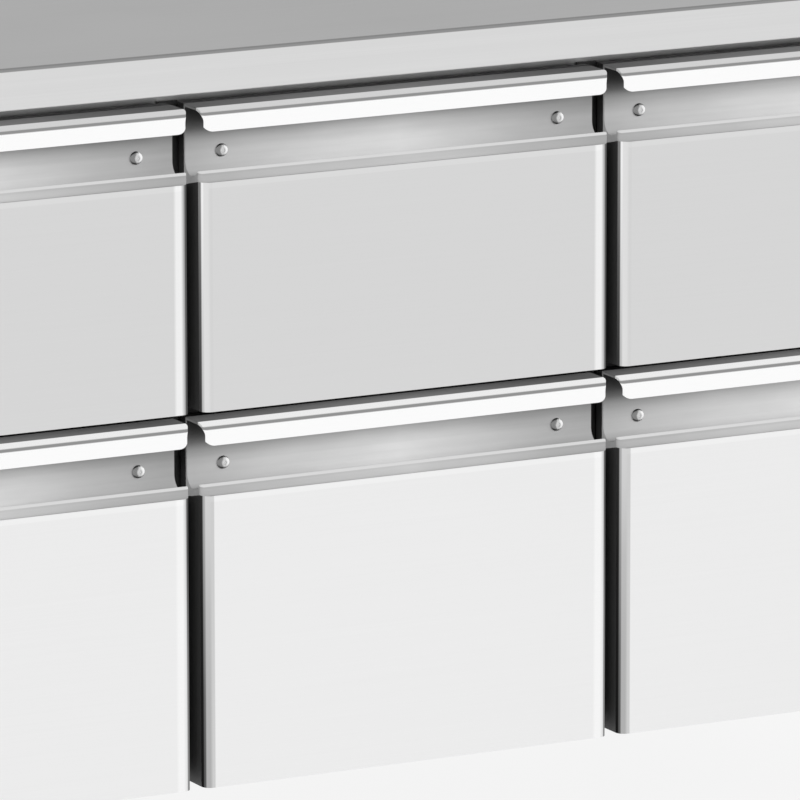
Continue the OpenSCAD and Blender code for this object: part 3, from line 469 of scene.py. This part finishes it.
def handle_finish(level):
    finish = Finish(f"handle_steel_{level}", Metallic=1.0)
    x, y, z = finish.axes()
    height = z - panel_top[level]
    lip, band, dark_line, nose, crest_highlight = rail_masks(height, y - face_y)
    hollow = (1 - nose) * (1 - lip)
    streaks = finish.noise(STREAKS["x"], 2.0)
    clouds = finish.noise(RAIL_CLOUDS, 3.0)
    uneven = (streaks - 0.5) * 0.16 + (clouds - 0.5) * 0.2 + 1.0
    # painted shade by height and towards the rail's ends
    along = finish.ramp(along_bank(x), END_SHADE_STOPS)
    tone = finish.ramp(height / RAIL_HEIGHT, RECESS_SHADE_STOPS) * along
    nose_tone = finish.ramp(height / CREST_HEIGHT, NOSE_SHADE_STOPS)
    nose_tone = nose_tone * (1 - (1 - along) * NOSE_BELL)
    tone = (tone + nose * (nose_tone - tone)) * uneven
    # painted highlight on the crest
    tone = tone + crest_highlight * (CREST_HIGHLIGHT_TONE - tone)
    # the polished lip's tone, partly painted sheen, with painted shade on the band and a painted
    # dark line
    lip_sheen_and_shade = LIP_TONE - band * (LIP_TONE - BAND_SHADE_TONES[level])
    lip_sheen_and_shade = lip_sheen_and_shade - dark_line * (lip_sheen_and_shade - DARK_LINE_TONE)
    finish.into("Base Color", tone + lip * (lip_sheen_and_shade - tone))
    finish.into("Roughness", 0.36 - lip * 0.24)
    low_down = 1 - height.above(FOOT_HEIGHT, FOOT_SOFT)
    share = hollow * HOLLOW_LEAN + lip * LIP_LEAN + nose * NOSE_LEAN
    normal = finish.lean(finish.facing(), OUTWARDS, share)
    finish.into("Normal", finish.lean(normal, OUT_AND_UP, hollow * low_down * HOLLOW_LEAN))
    return finish.material


handle = {level: handle_finish(level) for level in LEVELS}
print("handle finishes:", ", ".join(handle))

# %% [markdown]
# ## Plain materials
# The rest is coated metal, plastic, board and foam. A flat colour would look like a toy, because
# real stuff is never quite even. One recipe of fine dots and broad clouds gives each its own grain,
# at its real size.

# %% Coats, plastics and the rest
def grey(value):
    return (value, value, value)


def moulded(name, colour, rough, grain=1500.0, depth=0.00003, spread=0.12, **constants):
    """Plastic, paint or board with a fine leathery grain."""
    finish = Finish(name, **constants)
    dots = finish.noise((grain,) * 3, 2.0)
    clouds = finish.noise(CLOUDS, 2.0)
    share = dots * 0.5 + clouds * 0.5
    low = tuple(c * (1 - spread) for c in colour)
    high = tuple(c * (1 + spread) for c in colour)
    finish.into("Base Color", finish.mix(share, low, high))
    finish.into("Roughness", (clouds - 0.5) * 0.15 + rough)
    finish.bump(dots, depth)
    return finish.material


plain = {
    "black_plastic": moulded("black_plastic", grey(0.05), 0.5),
    "dark_plastic": moulded("dark_plastic", (0.03, 0.03, 0.034), 0.35),
    "key_plastic": moulded("key_plastic", grey(0.62), 0.4),
    "black_paint": moulded("black_paint", grey(0.02), 0.3, 600.0),
    "galvanised": brushed("galvanised", 0.48, "x", 0.42, 0.06),
    "copper": moulded("copper", (0.62, 0.28, 0.15), 0.3, 400.0, 0.00001, 0.1, Metallic=1.0),
    "core_board": moulded("core_board", (0.5, 0.36, 0.22), 0.8, 250.0, 0.0001),
    "foam": moulded("foam", (0.8, 0.7, 0.42), 0.85, 700.0, 0.0002),
}
print(len(plain), "plain finishes")

# %% [markdown]
# ## Ribs, fins and threads
# Three things repeat too finely to model: the bellows of a magnetic gasket, the fins of a coil, and
# the thread of a levelling foot. Arrays of real plates and turns would add many faces inside parts
# that hide them. Each is a triangle wave along one measure, fed to a bump. The same wave paints
# stripes of shade into the colour of the fins and the thread, and the gasket's rubber is painted
# darker in the valleys of its ribs. For the gasket that measure is the distance from its outer
# edge, so the ribs run round all four sides.

# %% Ribs, fins and threads
GASKET_RIB, FIN_PITCH, THREAD_PITCH = 0.004, 0.0032, 0.00175
RIB_DEPTH, FIN_DEPTH, THREAD_DEPTH = 0.001, 0.0015, 0.0008
THREAD = (0.0105, 0.0215)            # heights between the foot's pad and its nut
CONDENSER_FINS = 0.062               # how deep they reach from the condenser's front
COIL_FOOT, COIL_HEAD = 0.05, 0.02    # bare metal below and above the evaporator's fins


def wave(along, pitch):
    """A triangle wave from 0 to 1 and back, once per pitch."""
    half = pitch / 2
    return along.maths("PINGPONG", along, half) / half


def gasket_finish(level):
    low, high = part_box(f"{level}_1_gasket")
    finish = Finish(f"gasket_rubber_{level}")
    x, y, z = finish.axes()
    from_centre = (along_bank(x) - 0.5) * bank_pitch
    side = (high.x - low.x) / 2 - from_centre.maths("ABSOLUTE", from_centre)
    middle = z - (low.z + high.z) / 2
    end = (high.z - low.z) / 2 - middle.maths("ABSOLUTE", middle)
    ribs = wave(side.maths("MINIMUM", side, end), GASKET_RIB)
    dust = finish.noise((60.0, 60.0, 60.0), 3.0)
    # painted shade: the rubber runs darker in the valleys of the ribs, lighter on the ridges where
    # the noise is high
    finish.into("Base Color", finish.mix(dust * ribs, grey(0.022), grey(0.05)))
    finish.into("Roughness", dust * 0.2 + 0.5)
    finish.bump(ribs, RIB_DEPTH)
    return finish.material


def finned(name, tone, axis, along, low, high):
    """Fins between two depths of one axis, and plain metal elsewhere."""
    finish = Finish(name, Metallic=0.8)
    axes = dict(zip("xyz", finish.axes()))
    fins = axes[axis].between(low, high, 0.0005) * wave(axes[along], FIN_PITCH)
    dust = finish.noise((30.0, 30.0, 30.0), 3.0)
    # painted shade: the wave darkens the colour in stripes between the fins
    finish.into("Base Color", tone * ((dust - 0.5) * 0.4 + 1.0) * (1.0 - fins * 0.6))
    finish.into("Roughness", dust * 0.2 + 0.3)
    finish.bump(fins, FIN_DEPTH)
    return finish.material


def threaded(name):
    finish = Finish(name, Metallic=1.0)
    x, y, z = finish.axes()
    turns = z.between(*THREAD, 0.0004) * wave(z, THREAD_PITCH)
    grain = finish.noise((400.0, 400.0, 20.0), 2.0)
    # painted shade: the wave darkens the colour in stripes along the thread
    finish.into("Base Color", (0.62 - turns * 0.3) * ((grain - 0.5) * 0.1 + 1.0))
    finish.into("Roughness", grain * 0.1 + 0.25)
    finish.bump(turns, THREAD_DEPTH)
    return finish.material


condenser_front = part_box("condenser")[0].y
condenser_back = condenser_front + CONDENSER_FINS
coil_low, coil_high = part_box("evaporator")
fins_low, fins_high = coil_low.z + COIL_FOOT, coil_high.z - COIL_HEAD
special = {
    "condenser": finned("condenser_fins", 0.1, "y", "x", condenser_front, condenser_back),
    "evaporator": finned("evaporator_fins", 0.66, "z", "y", fins_low, fins_high),
    "levelling_feet": threaded("foot_steel"),
}
gaskets = {level: gasket_finish(level) for level in LEVELS}
print("ribs, fins and threads:", ", ".join(special), "and the gaskets")

# %% [markdown]
# ## Dressing the solids
# Sixty nodes could be dressed one by one. But the record names a slot for every node, so the
# finishes are handed out by slot. The fronts, the handle rails and the gaskets need to know their
# level as well, and the panel of the service end takes the plain grind.

# %% Dressing
def dress():
    for part in frame["record"]["subparts"]:
        name, slot = part["node"], part["material_slot"]
        level = name.split("_")[0]
        if slot == "handle_steel":
            material = handle[level]
        elif slot == "front_steel":
            material = front.get(level, steel["service_steel"])
        elif slot == "gasket_rubber":
            material = gaskets[level]
        elif name in special:
            material = special[name]
        else:
            material = steel.get(slot) or plain[slot]
        mesh = nodes[name].data
        mesh.materials.clear()
        mesh.materials.append(material)


dress()
print("dressed", len(nodes), "nodes")

# %% [markdown]
# ## Small turned parts
# Screw heads and weld seams are round, so each is a profile turned about an axis. A Screw modifier
# or a lathe tool would do. Here the rings are laid out one by one, because one ring can then be
# six-sided, which gives the socket of the key. Every piece is tied to a body, so that it slides
# with its drawer.

# %% Turned parts
TOWARDS_USER = Matrix.Rotation(math.radians(90), 4, "X")
TOWARDS_WALL = Matrix.Rotation(math.radians(-90), 4, "X")
SHARP = math.radians(35)             # edges that bend by more stay crisp


def finished_mesh(name, shape):
    """Smooth faces with crisp edges, from a bmesh."""
    bmesh.ops.recalc_face_normals(shape, faces=shape.faces)
    mesh = bpy.data.meshes.new(name)
    shape.to_mesh(mesh)
    shape.free()
    mesh.shade_smooth()
    mesh.set_sharp_from_angle(angle=SHARP)
    return mesh


def turned(name, profile, steps=24, hexagon=(), ring_only=False):
    """Turns a profile, a list of radii and heights, about Z."""
    shape = bmesh.new()
    rings = []
    for index, (radius, height) in enumerate(profile):
        ring = []
        for step in range(steps):
            angle = 2 * math.pi * step / steps
            reach = radius
            if index in hexagon:
                reach *= math.cos(math.pi / 6) / math.cos(angle % (math.pi / 3) - math.pi / 6)
            corner = (reach * math.cos(angle), reach * math.sin(angle), height)
            ring.append(shape.verts.new(corner))
        rings.append(ring)
    following = rings[1:] + rings[:1] if ring_only else rings[1:]
    for ring, above in zip(rings, following):
        for step in range(steps):
            after = (step + 1) % steps
            shape.faces.new((ring[step], ring[after], above[after], above[step]))
    if not ring_only:
        shape.faces.new(rings[0][::-1])
        shape.faces.new(rings[-1])
    return finished_mesh(name, shape)


def add_piece(name, mesh, material, body, place):
    """Puts a mesh in its place, ties it to a body and gives it a finish."""
    mesh.materials.clear()
    mesh.materials.append(material)
    piece = bpy.data.objects.new(name, mesh)
    bpy.context.scene.collection.objects.link(piece)
    piece.matrix_world = place
    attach(piece, body)


print("helpers for turned parts")

# %% [markdown]
# ## Rail screws
# Two button-head screws hold each handle rail to its front. The solid has a plain flat head there,
# so a domed head with a six-sided socket goes over it. Its colour carries a painted reflection: a
# painted dark flank on the left, for the dark end of the recess, and a painted highlight on the
# right, for the bright room. The tone follows the normal to show that from every side.

# %% Rail screws
SCREW_INSET = 0.038                  # from the rail's end
SCREW_HEIGHT = 0.023                 # above the panel's top
SCREW_REACH = 0.0075                 # how far the shank reaches behind the recess
DOME_PROFILE = [(0.0062, 0.0), (0.0062, 0.0012), (0.0058, 0.0022), (0.005, 0.003),
                (0.004, 0.0036), (0.003, 0.0039), (0.0021, 0.0039), (0.002, 0.0035)]
DOME_SOCKET = (6, 7)                 # the six-sided rings of the profile
FLANK_FROM, FLANK_SOFT = 0.14, 0.2
SCRATCHES = (2500.0, 2500.0, 2500.0)


def screw_finish():
    finish = Finish("screw_steel", Metallic=1.0)
    facing = finish.add("ShaderNodeSeparateXYZ", None, {"Vector": finish.facing()})
    scratches = finish.noise(SCRATCHES, 2.0)
    # painted reflection: dark on the left flank, a highlight on the right
    painted_dark_flank = (facing * -1.0).above(FLANK_FROM, FLANK_SOFT)
    painted_bright_flank = facing.above(FLANK_FROM, FLANK_SOFT)
    tone = 0.64 - painted_dark_flank * 0.4 + painted_bright_flank * 0.34
    finish.into("Base Color", tone * ((scratches - 0.5) * 0.2 + 1.0))
    finish.into("Roughness", scratches * 0.1 + 0.22)
    finish.into("Normal", finish.lean(finish.facing(), OUTWARDS, 0.6))
    return finish.material


screw_steel = screw_finish()
for drawer in DRAWERS:
    low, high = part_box(f"{drawer}_handle_rail")
    at_height = panel_top[drawer.split("_")[0]] + SCREW_HEIGHT
    for side, x in (("left", low.x + SCREW_INSET), ("right", high.x - SCREW_INSET)):
        name = f"{drawer}_rail_screw_{side}"
        place = Matrix.Translation((x, high.y - SCREW_REACH, at_height)) @ TOWARDS_USER
        head = turned(name, DOME_PROFILE, hexagon=DOME_SOCKET)
        add_piece(name, head, screw_steel, f"{drawer}_drawer", place)
print(2 * len(DRAWERS), "rail screws")

# %% [markdown]
# ## Screws of the casing
# The service panel and the back panel come off for repairs, so they are held by small pan-head
# screws along their foot and their top. Rows worked out from the panel's box stay right at any
# size, and the same turned form is used with a flatter profile.

# %% Casing screws
PAN_PROFILE = [(0.0042, 0.0), (0.0042, 0.0007), (0.0037, 0.0014), (0.0028, 0.0018),
               (0.0018, 0.0019), (0.0016, 0.0018), (0.0015, 0.0009)]
PAN_SOCKET = (5, 6)
PANEL_INSET = 0.018
SHEET = 0.0012
service_low, service_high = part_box("service_panel")
back_low, back_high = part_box("back_panel")
back_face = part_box("end_panels")[1].y + SHEET


def panel_screws(prefix, low, high, face, turn, columns):
    """Rows of screws along the foot and the top of an upright panel."""
    count = 0
    for column in range(columns):
        share = column / (columns - 1)
        x = low.x + PANEL_INSET + share * (high.x - low.x - 2 * PANEL_INSET)
        for z in (low.z + PANEL_INSET, high.z - PANEL_INSET):
            count += 1
            name = f"{prefix}_screw_{count}"
            head = turned(name, PAN_PROFILE, hexagon=PAN_SOCKET)
            place = Matrix.Translation((x, face, z)) @ turn
            # the same screw finish, with its painted reflection
            add_piece(name, head, screw_steel, "cabinet", place)
    print(count, "screws on the", prefix)


panel_screws("service_panel", service_low, service_high, face_y, TOWARDS_USER, 2)
panel_screws("back_panel", back_low, back_high, back_face, TOWARDS_WALL, 7)

# %% [markdown]
# ## Display and keys
# The controller shows the temperature of the cold room with seven-segment digits, and its two keys
# carry a triangle up and a triangle down. Each mark is a flat outline that is raised by a fraction
# of a millimetre. A text object could do it too, but real segments are bars with pointed ends, and
# six corners describe one.

# %% Display and keys
SEGMENTS = {"0": "abcdef", "3": "abgcd"}
READING = "03"
DIGIT_WIDTH, DIGIT_HEIGHT, BAR = 0.0058, 0.0116, 0.0013
DIGIT_PITCH = 1.7                    # in widths of a digit
BAR_GAP = 0.3                        # between two bars, in widths of a bar
WINDOW_CENTRE = 0.029                # from the bezel's left end
WINDOW_DEPTH = 0.001
MARK = 0.0003                        # how far a mark stands out
KEY_MARK = 0.0024
HALF_MARK = 0.87                     # half a triangle's width, in key marks


def bar_outline(x, z, length, upright):
    """The six corners of one segment."""
    half, thick = length / 2, BAR / 2
    corners = [(-half, 0), (-half + thick, thick), (half - thick, thick),
               (half, 0), (half - thick, -thick), (-half + thick, -thick)]
    if upright:
        corners = [(-b, a) for a, b in corners]
    return [(x + a, z + b) for a, b in corners]


def digit_outlines(character, x):
    """The outlines of one digit's bars, round the place x."""
    w, h = DIGIT_WIDTH, DIGIT_HEIGHT
    bars = {"a": (0, h / 2, w, False), "g": (0, 0, w, False), "d": (0, -h / 2, w, False),
            "b": (w / 2, h / 4, h / 2, True), "c": (w / 2, -h / 4, h / 2, True),
            "f": (-w / 2, h / 4, h / 2, True), "e": (-w / 2, -h / 4, h / 2, True)}
    outlines = []
    for letter in SEGMENTS[character]:
        across, up, length, upright = bars[letter]
        outlines.append(bar_outline(x + across, up, length - BAR * BAR_GAP, upright))
    return outlines


def raised(name, outlines, depth):
    """Flat outlines raised by a depth along Z."""
    shape = bmesh.new()
    for outline in outlines:
        base = [shape.verts.new((a, b, 0)) for a, b in outline]
        top = [shape.verts.new((a, b, depth)) for a, b in outline]
        shape.faces.new(base[::-1])
        shape.faces.new(top)
        for index in range(len(outline)):
            after = (index + 1) % len(outline)
            shape.faces.new((base[index], base[after], top[after], top[index]))
    return finished_mesh(name, shape)


def lit_finish():
    """Lit segments, a little uneven like real diodes behind a diffuser."""
    finish = Finish("lit_segment", Roughness=0.4)
    finish.shader.inputs["Base Color"].default_value = (0.2, 0.01, 0.01, 1)
    finish.shader.inputs["Emission Strength"].default_value = 1.6
    spots = finish.noise((900.0, 900.0, 900.0), 1.0)
    finish.into("Emission Color", finish.mix(spots, (0.9, 0.03, 0.02), (1.0, 0.12, 0.06)))
    return finish.material


bezel_low, bezel_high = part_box("controller")
window_x = bezel_low.x + WINDOW_CENTRE
window_z = (bezel_low.z + bezel_high.z) / 2
outlines = []
for position, character in enumerate(READING):
    outlines += digit_outlines(character, (position - 0.5) * DIGIT_WIDTH * DIGIT_PITCH)
digits = raised("display_digits", outlines, MARK)
place = Matrix.Translation((window_x, bezel_low.y + WINDOW_DEPTH, window_z)) @ TOWARDS_USER
add_piece("display_digits", digits, lit_finish(), "cabinet", place)
for name, tip in (("key_up", 1), ("key_down", -1)):
    low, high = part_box(name)
    triangle = [(-KEY_MARK * HALF_MARK, -tip * KEY_MARK / 2),
                (KEY_MARK * HALF_MARK, -tip * KEY_MARK / 2), (0, tip * KEY_MARK)]
    mark = raised(f"{name}_mark", [triangle], MARK)
    centre = (low + high) / 2
    place = Matrix.Translation((centre.x, low.y, centre.z)) @ TOWARDS_USER
    add_piece(f"{name}_mark", mark, plain["dark_plastic"], name, place)
print("display reads", READING)

# %% [markdown]
# ## Weld seam of the compressor
# The shell of a compressor is two pressed cups, welded round the middle. A bump could draw the
# seam, but it is a bead that stands out by two millimetres and shows in the outline. So it is a
# closed ring, turned like the screws.

# %% Compressor seam
SHELL_RADIUS = 0.088
SEAM_HEIGHT = 0.112                  # above the compressor's feet
SEAM_STEPS = 64
SEAM_PROFILE = [(SHELL_RADIUS - 0.001, -0.003), (SHELL_RADIUS + 0.0012, -0.0025),
                (SHELL_RADIUS + 0.002, 0.0), (SHELL_RADIUS + 0.0012, 0.0025),
                (SHELL_RADIUS - 0.001, 0.003)]
shell_low, shell_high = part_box("compressor")
shell_centre = (shell_low.x + SHELL_RADIUS, (shell_low.y + shell_high.y) / 2)
seam = turned("compressor_seam", SEAM_PROFILE, SEAM_STEPS, ring_only=True)
place = Matrix.Translation((*shell_centre, shell_low.z + SEAM_HEIGHT))
add_piece("compressor_seam", seam, plain["black_paint"], "cabinet", place)
print("weld seam")

# %% [markdown]
# ## Light, floor and background
# Steel shows what stands around it. Walls could be built, but the world can stand for them: white,
# with a darker ceiling and a darker back, which only reflections see. One broad lamp at the front
# left adds a direction. The floor is white to the camera and in reflections, and still takes the
# counter's shadow.

# %% Room
BACK_WALL_DIM = 0.22                 # how much darker the back of the room mirrors
CEILING_DIM = 0.25
ROOM_LIGHT = 0.62                    # what lights a surface that doesn't mirror


def light_room():
    world = bpy.data.worlds.new("room")
    bpy.context.scene.world = world
    world.use_nodes = True
    tree = world.node_tree
    background = tree.nodes["Background"]
    path = tree.nodes.new("ShaderNodeLightPath")
    camera_ray = Wire(tree, path.outputs["Is Camera Ray"])
    glossy_ray = Wire(tree, path.outputs["Is Glossy Ray"])
    through_ray = Wire(tree, path.outputs["Is Transmission Ray"])
    mirrored = glossy_ray.maths("MAXIMUM", glossy_ray, through_ray)
    direction = tree.nodes.new("ShaderNodeTexCoord")
    split = tree.nodes.new("ShaderNodeSeparateXYZ")
    tree.links.new(direction.outputs["Generated"], split.inputs[0])
    y, z = (Wire(tree, split.outputs[axis]) for axis in "YZ")
    back_wall = y.above(0.3, 0.5) * z.above(0.0, 0.05)
    ceiling = z.above(0.75, 0.5)
    shown = 1.0 - back_wall * BACK_WALL_DIM - ceiling * CEILING_DIM
    strength = mirrored * (shown - ROOM_LIGHT) + ROOM_LIGHT
    strength = camera_ray * (1.0 - strength) + strength
    tree.links.new(strength.socket, background.inputs["Strength"])
    background.inputs["Color"].default_value = (1, 1, 1, 1)


FLOOR_SIZE = 40.0
FLOOR_DROP = 0.0005                  # below the feet
FLOOR_GLOW = 0.86                    # share of the floor's white that takes no shadow


def lay_floor():
    bpy.ops.mesh.primitive_plane_add(size=FLOOR_SIZE, location=(0, 0, -FLOOR_DROP))
    floor = bpy.context.object
    floor.name = "floor"
    finish = Finish("floor_white", Roughness=0.6)
    finish.shader.inputs["Base Color"].default_value = (0.9, 0.9, 0.9, 1)
    finish.shader.inputs["Specular IOR Level"].default_value = 0.1
    path = finish.add("ShaderNodeLightPath")
    outputs = path.socket.node.outputs
    camera_ray = Wire(finish.tree, outputs["Is Camera Ray"])
    glossy_ray = Wire(finish.tree, outputs["Is Glossy Ray"])
    seen = camera_ray.maths("MAXIMUM", camera_ray, glossy_ray)
    glow = finish.add("ShaderNodeEmission", None, {"Strength": 1.0})
    mix = finish.add("ShaderNodeMixShader", None, {0: seen * FLOOR_GLOW})
    node = mix.socket.node
    finish.tree.links.new(finish.shader.outputs[0], node.inputs[1])
    finish.tree.links.new(glow.socket, node.inputs[2])
    output = finish.tree.nodes["Material Output"]
    finish.tree.links.new(mix.socket, output.inputs["Surface"])
    floor.data.materials.append(finish.material)


LAMP_PLACE = (-2.2, -3.2, 2.6)
LAMP_AIM = (0.1, -0.2, 0.5)
LAMP_SIZE = (2.4, 1.8)               # metres
LAMP_POWER = 90                      # watts


def hang_lamp(name, place, aim, size, power):
    data = bpy.data.lights.new(name, "AREA")
    data.shape = "RECTANGLE"
    data.size, data.size_y = size
    data.energy = power
    lamp = bpy.data.objects.new(name, data)
    bpy.context.scene.collection.objects.link(lamp)
    lamp.location = place
    lamp.rotation_mode = "QUATERNION"
    lamp.visible_glossy = False
    lamp.rotation_quaternion = (Vector(aim) - Vector(place)).to_track_quat("-Z", "Y")


light_room()
lay_floor()
hang_lamp("key_lamp", LAMP_PLACE, LAMP_AIM, LAMP_SIZE, LAMP_POWER)
print("room, floor and lamp")

# %% [markdown]
# ## Last update
# The dressed counter has to stay as large as the solids say. The last line updates the view layer.

# %% Finish
bpy.context.view_layer.update()
